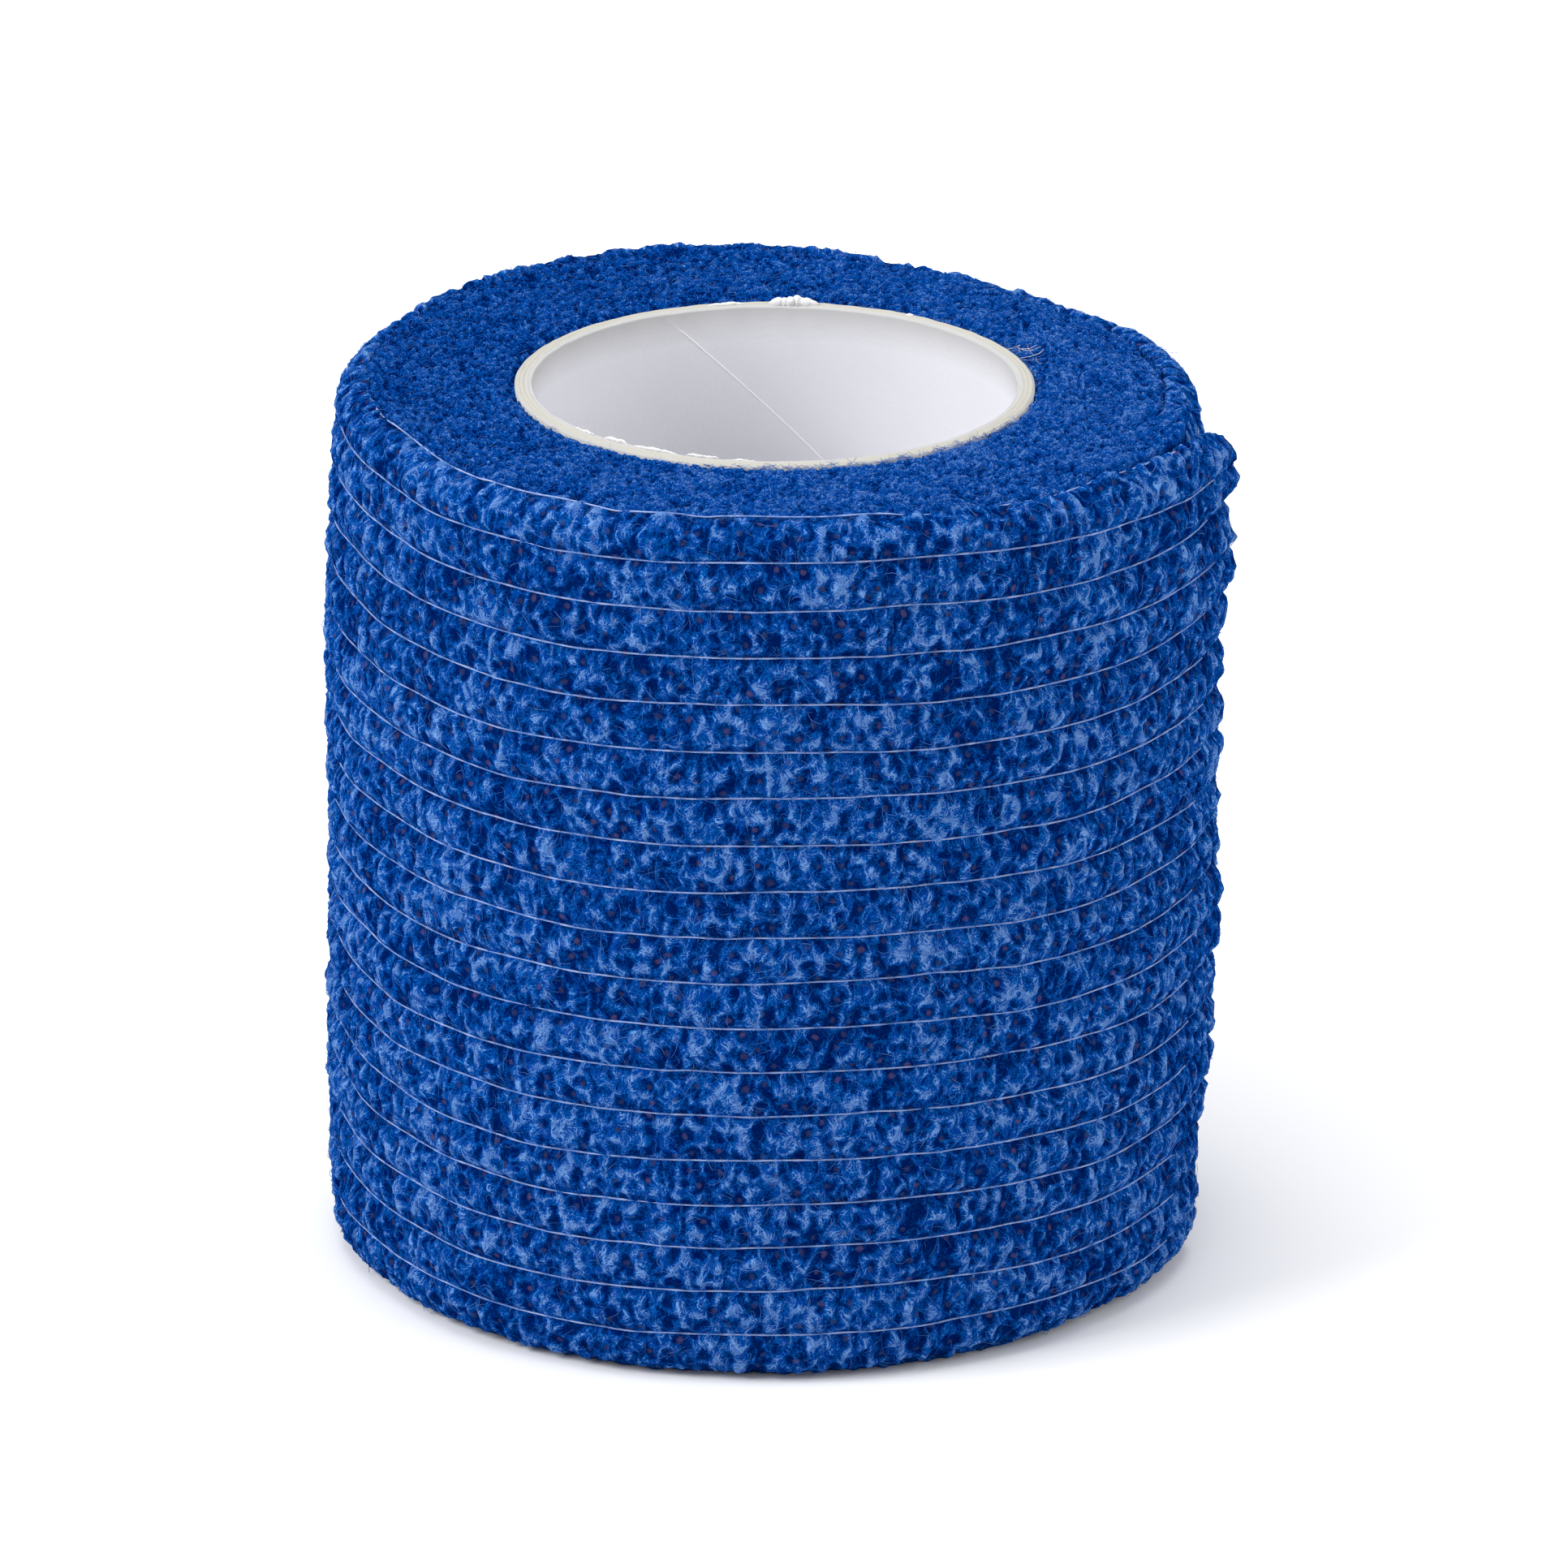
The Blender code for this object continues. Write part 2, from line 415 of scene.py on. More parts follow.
def on_wall(turn, up, out):
    """Places in the row frame, in metres, on the outermost turn."""
    radius, height = wall_place(turn, up, out)
    return on_roll(FREE_END_ANGLE + math.tau * turn, radius, height)


def signed_volume(points, faces):
    """Six times the volume that faces enclose, negative where they point inwards."""
    total = 0.0
    first = points[faces[:, 0]]
    for corner in range(1, faces.shape[1] - 1):
        crossed = np.cross(points[faces[:, corner]], points[faces[:, corner + 1]])
        total += float(np.einsum("ij,ij->", first, crossed))
    return total


def make_piece(name, points, face_groups, material, values=None):
    """A smooth shaded piece from its points, its faces grouped by size, and values per point."""
    points = points.reshape(-1, 3)
    if sum(signed_volume(points, faces) for faces in face_groups) < 0.0:
        face_groups = [faces[:, ::-1] for faces in face_groups]
    corners = np.concatenate([faces.ravel() for faces in face_groups])
    sizes = np.concatenate([np.full(len(faces), faces.shape[1]) for faces in face_groups])
    mesh = bpy.data.meshes.new(name)
    mesh.vertices.add(len(points))
    mesh.vertices.foreach_set("co", points.astype(np.float32).ravel())
    mesh.loops.add(len(corners))
    mesh.loops.foreach_set("vertex_index", corners.astype(np.int32))
    mesh.polygons.add(len(sizes))
    starts = np.concatenate([[0], np.cumsum(sizes)[:-1]])
    mesh.polygons.foreach_set("loop_start", starts.astype(np.int32))
    mesh.update(calc_edges=True)
    mesh.validate()
    for key, numbers in (values or {}).items():
        is_vector = numbers.size == 3 * len(points)
        layer = mesh.attributes.new(key, "FLOAT_VECTOR" if is_vector else "FLOAT", "POINT")
        layer.data.foreach_set("vector" if is_vector else "value", numbers.astype(np.float32).ravel())
    mesh.shade_smooth()
    mesh.materials.append(material)
    piece = bpy.data.objects.new(name, mesh)
    bpy.context.scene.collection.objects.link(piece)
    return piece


def grid_faces(rows, columns, rows_close, columns_close):
    """Quads of a grid of points, closed on itself along rows, columns or both."""
    last_row = rows if rows_close else rows - 1
    last_column = columns if columns_close else columns - 1
    i, j = np.meshgrid(np.arange(last_row), np.arange(last_column), indexing="ij")
    next_i = (i + 1) % rows
    next_j = (j + 1) % columns
    here = i * columns
    above = next_i * columns
    corners = [here + j, here + next_j, above + next_j, above + j]
    return np.stack(corners, axis=-1).reshape(-1, 4)


def strands_piece(name, paths, radii, sides, material, values=None):
    """Closed tubes along many paths of the same number of points, joined as one piece."""
    count, steps = paths.shape[:2]
    tangent = np.gradient(paths, axis=1)
    tangent /= np.linalg.norm(tangent, axis=-1, keepdims=True) + 1e-12
    guide = np.where(np.abs(tangent[..., 2:3]) > 0.8, (1.0, 0.0, 0.0), (0.0, 0.0, 1.0))
    across = np.cross(tangent, guide)
    across /= np.linalg.norm(across, axis=-1, keepdims=True)
    upward = np.cross(across, tangent)
    turns = np.arange(sides) * math.tau / sides
    circle = across[:, :, None] * np.cos(turns)[:, None] + upward[:, :, None] * np.sin(turns)[:, None]
    points = paths[:, :, None] + circle * radii[:, :, None, None]
    one = grid_faces(steps, sides, False, True)
    offsets = np.arange(count) * steps * sides
    quads = (one[None] + offsets[:, None, None]).reshape(-1, 4)
    start = np.arange(sides)
    end = (steps - 1) * sides + np.arange(sides)[::-1]
    caps = np.concatenate([start[None] + offsets[:, None], end[None] + offsets[:, None]])
    spread = {}
    for key, numbers in (values or {}).items():
        spread[key] = np.repeat(numbers, steps * sides)
    return make_piece(name, points, [quads, caps], material, spread)


def flat_place(first, second):
    """The place that the cloth's fine pattern is read at, in millimetres."""
    return np.stack(np.broadcast_arrays(first, second, 0.0), axis=-1)


def under_free_end(turn, out):
    """Relief of the outermost turn, pressed flat where the free end lies on it."""
    shows = np.clip((turn - PRESSED_TO) / PRESSED_FADE, 0.0, 1.0)
    return out * shows - PRESSED_DEPTH * (1.0 - shows)


def outer_turn(name, first, last, columns, material):
    """A stretch of the outermost turn: crinkled outside, plain inside, rounded at both edges."""
    turn = np.linspace(first, last, columns)[None, :]
    edge_top = TAPE_WIDTH - EDGE_INSET + RAGGED * (noise(turn * 120.0, 0.5, 92) - 0.5)
    edge_base = EDGE_INSET + RAGGED_BASE * noise(turn * 90.0, 0.5, 93)
    up = edge_base + (edge_top - edge_base) * np.linspace(0.0, 1.0, WALL_ROWS)[:, None]
    ragged = RAGGED * (noise(np.arange(WALL_ROWS) / 2.5, 0.5, 91) - 0.5)
    at_end = np.clip(1.0 + turn * TURN_LENGTH / 2.0, 0.0, 1.0)
    turn = turn + at_end * ragged[:, None] / TURN_LENGTH
    out, level, cell, own = cloth_relief(turn * TURN_LENGTH, up)
    from_edge = np.minimum(up - edge_base, edge_top - up)
    out = out - CORNER_ROUNDING * np.clip(1.0 - from_edge / CORNER_REACH, 0.0, 1.0) ** 2
    out = under_free_end(turn, out)
    inner_rows = 4
    inner_share = np.linspace(1.0, 0.0, inner_rows)[:, None]
    inner_height = edge_top - edge_base - 2.0 * INSIDE_INSET
    inner_up = edge_base + INSIDE_INSET + inner_height * inner_share
    inner_turn = np.broadcast_to(turn.mean(axis=0, keepdims=True), inner_up.shape)
    turns = np.concatenate([turn, inner_turn])
    ups = np.concatenate([up, inner_up])
    outs = np.concatenate([out, np.full(inner_up.shape, -CLOTH_THICKNESS)])
    rows = WALL_ROWS + inner_rows
    quads = grid_faces(rows, columns, True, False)
    first_cap = np.arange(rows)[::-1] * columns
    last_cap = np.arange(rows) * columns + columns - 1
    plain = np.zeros(inner_up.shape)
    off_pattern = np.broadcast_to((FAR_OFF, FAR_OFF, 0.0), inner_up.shape + (3,))
    values = {
        "level": np.concatenate([level, plain + INSIDE_LEVEL]),
        "own": np.concatenate([own, plain]),
        "cell": np.concatenate([cell, off_pattern]),
        "place": flat_place(turns * TURN_LENGTH, ups),
    }
    caps = np.stack([first_cap, last_cap])
    return make_piece(name, on_wall(turns, ups, outs), [quads, caps], material, values)


def face_relief(x, y, seed):
    """Height from 0 to 1 of the felted end faces, where the edges of all the turns show, and of
    the wider lumps in it."""
    grains = clouds(x / FACE_GRAIN, y / FACE_GRAIN, seed, 2)
    lumps = clouds(x / FACE_LUMP, y / FACE_LUMP, seed + 5, 2)
    wound = np.sin(math.tau * (np.hypot(x, y) / LAYER - np.arctan2(y, x) / math.tau))
    level = 0.5 + 1.7 * (grains - 0.5) + 0.35 * (lumps - 0.5) + 0.05 * wound
    return np.clip(level, 0.0, 1.0), lumps


def face_rim(angle):
    """Radius and height of the outer edge of the upper end face."""
    turn = (angle - FREE_END_ANGLE) / math.tau % 1.0 - 1.0
    radius, height = wall_place(turn, np.full(turn.shape, TAPE_WIDTH), -0.12, loose=0.0)
    return radius - LAYER * loose_share(turn), height


def face_height(angle, radius):
    """Height of the upper end face at a place on it, and how high the place is in its relief."""
    edge_radius, edge_height = face_rim(angle)
    level, lumps = face_relief(radius * np.cos(angle), radius * np.sin(angle), 110)
    inside = edge_radius - radius
    by_rim = np.clip(1.0 - inside / RIM_SLOPE, 0.0, 1.0)
    at_edge = np.clip(1.0 - inside / EDGE_DROP_REACH, 0.0, 1.0)
    at_core = np.clip(1.0 - (radius - CORE_RADIUS) / CORE_DROP_REACH, 0.0, 1.0)
    height = ROLL_HEIGHT + FACE_RISE + (edge_height - ROLL_HEIGHT - FACE_RISE) * by_rim**2
    height = height + FACE_RELIEF * (level - 0.5) + RIM_LUMPS * (lumps - 0.5) * by_rim
    return height - EDGE_DROP * at_edge**2 - CORE_DROP * at_core, level


def end_face(material):
    """The felted upper end face of the turns, from the core to the outermost turn's edge."""
    angle = np.linspace(0.0, math.tau, FACE_COLUMNS, endpoint=False)[None, :]
    edge_radius, _ = face_rim(angle)
    bore = CORE_RADIUS - CORE_SHRINK + 0.08 * (noise(angle * 60.0, 0.5, 121) - 0.5)
    share = np.linspace(0.0, 1.0, FACE_RINGS)[:, None]
    radius = bore + (edge_radius - bore) * share
    height, level = face_height(angle, radius)
    # Painted light: the end face is made paler towards one side and darker towards the other.
    level = level + PAINTED_LIGHT_CHANGE * np.cos(angle - PAINTED_LIGHT_SIDE)
    slab = (3, FACE_COLUMNS)
    down = np.linspace(ROLL_HEIGHT - SLAB_DEPTHS[0], ROLL_HEIGHT - SLAB_DEPTHS[1], slab[0])[:, None]
    down = np.broadcast_to(down, slab)
    outer = np.broadcast_to(edge_radius - HIDDEN_OVERLAP, slab)
    inner = np.full(slab, CORE_RADIUS + HIDDEN_OVERLAP)
    radii = np.concatenate([radius, outer, inner])
    heights = np.concatenate([height, down, down[::-1]])
    hidden = np.full((2 * slab[0], FACE_COLUMNS), HIDDEN_LEVEL)
    values = {"level": np.concatenate([level, hidden])}
    quads = grid_faces(len(radii), FACE_COLUMNS, True, True)
    return make_piece("end_face", on_roll(angle, radii, heights), [quads], material, values)


def inner_turns(material):
    """The turns inside the outermost one: a ring under the end face, felted on its base."""
    angle = np.linspace(0.0, math.tau, BODY_COLUMNS, endpoint=False)[None, :]
    turn = (angle - FREE_END_ANGLE) / math.tau % 1.0 - 1.0
    turn = np.where(turn > FIRST_TURN + 1.0, turn - 1.0, turn)
    bore = CORE_RADIUS + HIDDEN_OVERLAP
    top = ROLL_HEIGHT - BODY_DEPTH
    side_rows = 12
    up = np.linspace(top, 0.6, side_rows)[:, None]
    side_radius, side_height = wall_place(turn, up, -CLOTH_THICKNESS - 0.08)
    base_edge = side_radius[-1:] - BASE_STEP
    share = np.linspace(1.0, 0.0, BASE_RINGS)[:, None]
    base_radius = bore + (base_edge - bore) * share
    level, _ = face_relief(base_radius * np.cos(angle), base_radius * np.sin(angle), 150)
    base_height = BASE_RELIEF * (1.0 - level)
    side_height[:1] = top
    bore_radius = np.full((2, BODY_COLUMNS), bore)
    bore_height = np.broadcast_to(np.array([[0.5], [top]]), (2, BODY_COLUMNS))
    radii = np.concatenate([side_radius, base_radius, bore_radius])
    heights = np.concatenate([side_height, base_height, bore_height])
    plain = np.full((side_rows, BODY_COLUMNS), HIDDEN_LEVEL)
    values = {"level": np.concatenate([plain, level, plain[:2]])}
    quads = grid_faces(len(radii), BODY_COLUMNS, True, True)
    return make_piece("inner_turns", on_roll(angle, radii, heights), [quads], material, values)


def thread_depth(index, turn, along):
    """How deep one thread has sunk into the cloth, which hides it here and there. The rim's is
    hidden at its start and near the free end too."""
    at_rim = index == THREAD_COUNT
    hidden = noise(along / 2.6, 0.5, 130 + index) - (0.42 if at_rim else 0.78)
    depth = (0.20 if at_rim else 0.10) * np.clip(hidden / 0.3, 0.0, 1.0)
    if at_rim:
        depth = depth + 0.20 * eased(1.0 - (turn - RIM_THREAD_START) / 0.04)
        depth = depth + 0.24 * eased((turn + 0.19) / 0.05)
    return depth


def elastic_threads(material):
    """The elastic threads along the outermost turn, with a small knot at each stitch. The lower
    ones stop a little further from the free end."""
    rng = np.random.default_rng(4)
    paths = []
    radii = []
    for index in range(THREAD_COUNT + 1):
        stops_short = 0.016 + 0.018 * (1.0 - index / THREAD_COUNT) + rng.uniform(-0.004, 0.004)
        at_rim = index == THREAD_COUNT
        start = RIM_THREAD_START if at_rim else THREAD_START
        turn = np.linspace(start, -stops_short, THREAD_STEPS)
        along = turn * TURN_LENGTH
        up = thread_height(index, along)
        out, _, _, _ = cloth_relief(along, up)
        reach = 20 if at_rim else 4
        smoothing = np.hanning(2 * reach + 1) / np.hanning(2 * reach + 1).sum()
        out = np.convolve(np.pad(out, reach, mode="edge"), smoothing, mode="valid")
        out = under_free_end(turn, out) + THREAD_PROUD - thread_depth(index, turn, along)
        paths.append(on_wall(turn, up, out))
        knots = np.clip(np.sin(math.tau * along / KNOT_SPACING + 1.7 * index), 0.0, 1.0) ** 6
        radii.append(THREAD_RADIUS * (1.0 + KNOT_SIZE * knots) * MM)
    return strands_piece("elastic_threads", np.array(paths), np.array(radii), 4, material)


def fibre_steps(rng, length, bend):
    """Steps along fibres of some length, which set off any way and bend as they go."""
    steps = np.linspace(-0.5, 0.5, 4)[None, :]
    heading = rng.uniform(0.0, math.tau, len(length))[:, None]
    heading = heading + rng.normal(0.0, bend, len(length))[:, None] * steps
    reach = length[:, None] * steps
    return steps, reach * np.cos(heading), reach * np.sin(heading)


def fibre_radii(rng, steps, count):
    """Radii along fibres, which thin out towards both ends."""
    return rng.uniform(*FIBRE_RADIUS, count)[:, None] * (1.0 - 0.5 * np.abs(2.0 * steps)) * MM


def wall_fibres(name, first, last, count, seed, material):
    """Fine fibres that lie on the outermost turn, bowed a little off it."""
    rng = np.random.default_rng(seed)
    turn = rng.uniform(first, last, count)[:, None]
    up = rng.uniform(0.2, TAPE_WIDTH - 0.2, count)[:, None]
    bow = rng.uniform(0.01, 0.12, count)[:, None]
    steps, across, upward = fibre_steps(rng, rng.uniform(0.4, 1.5, count), 0.8)
    turn = turn + across / TURN_LENGTH
    up = np.clip(up + upward, 0.1, TAPE_WIDTH)
    out, level, _, _ = cloth_relief(turn * TURN_LENGTH, up)
    paths = on_wall(turn, up, out + 0.015 + bow * (1.0 - (2.0 * steps) ** 2))
    # Painted highlight: a fibre is paler where the relief under it stands high, plus a random tone.
    shade = np.clip(level.mean(axis=1) * 0.8 + rng.uniform(0.0, 0.35, count), 0.0, 1.0)
    radii = fibre_radii(rng, steps, count)
    return strands_piece(name, paths, radii, 3, material, {"shade": shade})


def face_fibres(name, count, seed, material):
    """Short fibres that stand and lie on the upper end face, thickest round the core."""
    rng = np.random.default_rng(seed)
    inner = CORE_RADIUS + 0.1
    radius = np.sqrt(rng.uniform(inner**2, (ROLL_RADIUS - 1.6) ** 2, count))[:, None]
    angle = rng.uniform(0.0, math.tau, count)[:, None]
    at_core = rng.uniform(0.0, 1.0, count)[:, None] < 0.14
    radius = np.where(at_core, CORE_RADIUS + rng.uniform(-0.15, 0.2, count)[:, None], radius)
    in_front = rng.uniform(math.radians(255.0), math.radians(335.0), count)[:, None]
    angle = np.where(at_core & (angle > 2.0), in_front, angle)
    rise = rng.uniform(0.0, 0.30, count)[:, None]
    steps, across, inwards = fibre_steps(rng, rng.uniform(0.25, 0.8, count), 0.8)
    ground, level = face_height(angle, np.maximum(radius, CORE_RADIUS + 0.3))
    height = ground + 0.02 + rise * (steps + 0.5)
    paths = on_roll(angle + across / radius, radius + inwards, height)
    # Painted highlight: a fibre is paler where the face under it stands high, plus a random tone.
    shade = np.clip(level[:, 0] * 0.6 + rng.uniform(0.0, 0.4, count), 0.0, 1.0)
    radii = fibre_radii(rng, steps, count) * 0.8
    return strands_piece(name, paths, radii, 3, material, {"shade": shade})


# The lining's seam: where it starts at the top, and how far it turns for each millimetre down
SEAM_START = math.radians(118.0)
SEAM_TURN = math.radians(4.4)


def core_tube(material):
    """The cardboard core: plies showing in its cut ends, and a worn upper inner edge."""
    angle = np.linspace(0.0, math.tau, CORE_COLUMNS, endpoint=False)[None, :]
    inner = CORE_RADIUS - CORE_WALL
    cut_rows = 18
    share = np.linspace(0.0, 1.0, cut_rows)[:, None]
    roughness = clouds(share * 5.0, angle * 16.0, 161, 2) - 0.5
    plies = 0.03 * np.sin(share * math.tau * 4.0) + 0.07 * roughness
    rounding = 0.10 * (2.0 * share - 1.0) ** 6
    worn = 0.9 * np.clip(clouds(angle * 9.0, 0.5, 163, 4) - 0.45, 0.0, 1.0)
    worn_here = 0.2 + 0.8 * np.exp(-(((angle - math.radians(238.0)) / 0.45) ** 2))
    top_radius = inner + (CORE_WALL - CORE_SHRINK) * share - worn * worn_here * (1.0 - share) ** 2
    top_height = ROLL_HEIGHT + 0.02 + plies - rounding
    wall_rows = 4
    down = np.linspace(1.0, 0.0, wall_rows + 2)[1:-1, None]
    outer_radius = np.full((wall_rows, CORE_COLUMNS), CORE_RADIUS - CORE_SHRINK)
    outer_height = np.broadcast_to(ROLL_HEIGHT * down, (wall_rows, CORE_COLUMNS))
    base_radius = np.broadcast_to(CORE_RADIUS - CORE_WALL * share, (cut_rows, CORE_COLUMNS))
    base_height = 0.06 + plies[::-1] + rounding
    inner_rows = 24
    rise = np.linspace(0.0, 1.0, inner_rows + 2)[1:-1, None]
    inner_radius = inner + 0.05 * (clouds(angle * 3.0, rise * 8.0, 165) - 0.5)
    inner_height = np.broadcast_to(ROLL_HEIGHT * rise, (inner_rows, CORE_COLUMNS))
    radii = np.concatenate([top_radius, outer_radius, base_radius, inner_radius])
    heights = np.concatenate([top_height, outer_height, base_height, inner_height])
    is_cut = (np.ones(cut_rows), np.zeros(wall_rows), np.ones(cut_rows), np.zeros(inner_rows))
    cut = np.broadcast_to(np.concatenate(is_cut)[:, None], radii.shape)
    ply = np.clip((radii - inner) / CORE_WALL, 0.0, 1.0)
    quads = grid_faces(len(radii), CORE_COLUMNS, True, True)
    values = {"cut": cut, "ply": ply}
    return make_piece("core_tube", on_roll(angle, radii, heights), [quads], material, values)


def core_seam(material):
    """The spiral seam of the core's paper lining, coloured whiter than the lining as a painted
    highlight.
    """
    steps = 240
    height = np.linspace(ROLL_HEIGHT - 0.3, 0.4, steps)
    angle = SEAM_START - SEAM_TURN * (ROLL_HEIGHT - height)
    path = on_roll(angle, np.full(steps, CORE_RADIUS - CORE_WALL + 0.02), height)
    radii = np.full((1, steps), 0.05 * MM)
    return strands_piece("core_seam", path[None], radii, 6, material)


# Torn paper on the core's upper edge, in rows of (start, end in degrees, size, place in wall)
TORN_PAPER = (
    (80.0, 91.5, 0.46, 0.45),
    (97.0, 106.0, 0.16, 0.5),
    (56.0, 58.5, 0.16, 0.6),
    (216.0, 223.0, 0.10, 0.05),
    (226.0, 233.0, 0.16, -0.08),
    (235.0, 247.0, 0.14, 0.0),
    (249.0, 257.0, 0.15, -0.05),
    (259.0, 266.0, 0.09, 0.1),
)


def torn_paper(material):
    """Small fluffy ridges where the paper has torn."""
    steps = 60
    paths = []
    radii = []
    for number, (start, end, size, place) in enumerate(TORN_PAPER):
        share = np.linspace(0.0, 1.0, steps)
        angle = np.radians(start + (end - start) * share)
        fluff = 0.2 + 1.1 * clouds(share * 7.0, 0.5, 180 + number)
        shape = np.sin(math.pi * share) ** 0.5 * fluff
        sway = noise(share * 9.0, 0.5, 190 + number) - 0.5
        radius = CORE_RADIUS - CORE_WALL * (1.0 - place) + 0.15 * sway
        height = ROLL_HEIGHT + size * shape * 0.3
        paths.append(on_roll(angle, radius, height))
        radii.append(np.maximum(size * shape, 0.01) * MM)
    return strands_piece("torn_paper", np.array(paths), np.array(radii), 8, material)


def wisps(material):
    """A few white paper fibres, caught in the end face beside the core."""
    rng = np.random.default_rng(11)
    count = 12
    radius = CORE_RADIUS + rng.uniform(0.3, 0.9, count)[:, None]
    angle = rng.uniform(math.radians(12.0), math.radians(30.0), count)[:, None]
    steps, across, inwards = fibre_steps(rng, rng.uniform(1.0, 2.4, count), 0.9)
    ground, _ = face_height(angle, radius)
    paths = on_roll(angle + across / radius, radius + inwards, ground + 0.1 + 0.2 * steps)
    return strands_piece("wisps", paths, fibre_radii(rng, steps, count) * 0.9, 3, material)


class Nodes:
    """Short calls for building a material's node tree."""

    def __init__(self, name):
        self.material = bpy.data.materials.new(name)
        self.material.use_nodes = True
        self.tree = self.material.node_tree
        self.shader = self.tree.nodes["Principled BSDF"]

    def add(self, kind, inputs=None, **settings):
        """A node with its settings, and its inputs as values or as sockets to link."""
        node = self.tree.nodes.new(kind)
        for key, value in settings.items():
            setattr(node, key, value)
        for key, value in (inputs or {}).items():
            self.feed(node.inputs[key], value)
        return node

    def feed(self, socket, value):
        """A value given to a socket, or another node's socket linked to it."""
        if isinstance(value, bpy.types.NodeSocket):
            self.tree.links.new(value, socket)
        else:
            socket.default_value = value

    def number(self, name):
        """A number kept at each point of the mesh."""
        return self.add("ShaderNodeAttribute", attribute_name=name).outputs["Fac"]

    def places(self, name):
        """A place kept at each point of the mesh."""
        return self.add("ShaderNodeAttribute", attribute_name=name).outputs["Vector"]

    def maths(self, operation, first, second=0.0):
        """One sum on two values."""
        return self.add("ShaderNodeMath", {0: first, 1: second}, operation=operation).outputs[0]

    def spread(self, value, low, high, to_low=0.0, to_high=1.0):
        """A value mapped from one range to another and held inside it."""
        given = {0: value, 1: low, 2: high, 3: to_low, 4: to_high}
        return self.add("ShaderNodeMapRange", given).outputs[0]

    def varied(self, value, change, weight):
        """A value with a noise from 0 to 1 added, centred on nothing."""
        centred = self.maths("SUBTRACT", change, 0.5)
        return self.maths("ADD", value, self.maths("MULTIPLY", centred, weight))

    def blend(self, share, first, second):
        """Two colours mixed by a share."""
        node = self.add("ShaderNodeMix", data_type="RGBA")
        self.feed(node.inputs[0], share)
        self.feed(node.inputs[6], first)
        self.feed(node.inputs[7], second)
        return node.outputs[2]

    def cloud(self, where, size, detail=2.0, flat="3D"):
        """Noise whose bumps are about size across, in the unit of the place that it is read at."""
        given = {"Vector": where, "Scale": 1.0 / size, "Detail": detail}
        return self.add("ShaderNodeTexNoise", given, noise_dimensions=flat).outputs["Fac"]

    def warped(self, where, size, amount, flat="3D"):
        """A place moved about by a slow noise, so that straight lines bend."""
        given = {"Vector": where, "Scale": 1.0 / size, "Detail": 1.0}
        slow = self.add("ShaderNodeTexNoise", given, noise_dimensions=flat)
        given = {0: slow.outputs["Color"], 1: (0.5, 0.5, 0.5)}
        centred = self.add("ShaderNodeVectorMath", given, operation="SUBTRACT").outputs[0]
        given = {0: centred, 1: (amount, amount, amount)}
        moved = self.add("ShaderNodeVectorMath", given, operation="MULTIPLY").outputs[0]
        return self.add("ShaderNodeVectorMath", {0: where, 1: moved}, operation="ADD").outputs[0]

    def stretched(self, where, width, height):
        """A place measured in widths and heights."""
        given = {"Vector": where, "Scale": (width, height, 1.0)}
        return self.add("ShaderNodeMapping", given, vector_type="TEXTURE").outputs[0]

    def net(self, where, width):
        """A net of soft lines between cells about a unit across: 1 on a line, 0 inside a cell."""
        kind = {"feature": "DISTANCE_TO_EDGE", "voronoi_dimensions": "2D"}
        edge = self.add("ShaderNodeTexVoronoi", {"Vector": where, "Scale": 1.0}, **kind)
        return self.spread(edge.outputs["Distance"], 0.0, width, 1.0, 0.0)

    def strands(self, where, turned, length, width, flat):
        """Thin broken streaks in one direction, from 0 to 1."""
        given = {"Vector": where, "Rotation": turned, "Scale": (length, width, width)}
        along = self.add("ShaderNodeMapping", given, vector_type="TEXTURE").outputs[0]
        return self.spread(self.cloud(along, 1.0, 0.0, flat), 0.60, 0.78)

    def felt(self, where, length, width, flat="3D"):
        """Streaks in several directions, like matted fibres."""
        lean = 0.0 if flat == "2D" else 0.7
        most = self.strands(where, (0.0, lean, math.radians(12.0)), length, width, flat)
        for heading in (58.0, 97.0, 141.0):
            lean = -lean
            streak = self.strands(where, (0.0, lean, math.radians(heading)), length, width, flat)
            most = self.maths("MAXIMUM", most, streak)
        return most

    def bump(self, height, strength, distance):
        """Fine relief for the shader, of some millimetres at most."""
        given = {"Height": height, "Strength": strength, "Distance": distance * MM}
        self.feed(self.shader.inputs["Normal"], self.add("ShaderNodeBump", given).outputs[0])


# Colours of the cloth from its hollows to its tops, darker in the hollows as painted shade and paler
# on the tops as painted highlight, and of the dots of glue
NAVY = (0.0, 0.0064, 0.080, 1.0)
BLUE = (0.0008, 0.038, 0.255, 1.0)
BRIGHT_BLUE = (0.003, 0.130, 0.49, 1.0)
LAVENDER = (0.072, 0.180, 0.48, 1.0)
PALE = (0.15, 0.30, 0.62, 1.0)
GLUE = (0.050, 0.052, 0.105, 1.0)
PINK_GLUE = (0.13, 0.085, 0.16, 1.0)

# Loose fibres and elastic threads, each from darker to paler; the fibres are paler where they lie on
# high relief, as painted highlight, and otherwise vary at random
FIBRE_COLOURS = ((0.003, 0.06, 0.32, 1.0), (0.10, 0.23, 0.56, 1.0))
THREAD_COLOURS = ((0.09, 0.18, 0.46, 1.0), (0.30, 0.39, 0.67, 1.0))

# The core's lining, its cut board from grey to cream, its torn paper and the lining's edge, which is
# whiter than the lining as a painted highlight along the seam
LINING_COLOURS = ((0.76, 0.76, 0.81, 1.0), (0.80, 0.80, 0.84, 1.0))
BOARD_COLOURS = ((0.46, 0.46, 0.465, 1.0), (0.45, 0.44, 0.395, 1.0))
TORN_COLOURS = ((0.60, 0.60, 0.61, 1.0), (0.76, 0.76, 0.76, 1.0))
EDGE_COLOURS = ((0.90, 0.90, 0.93, 1.0), (0.95, 0.95, 0.97, 1.0))


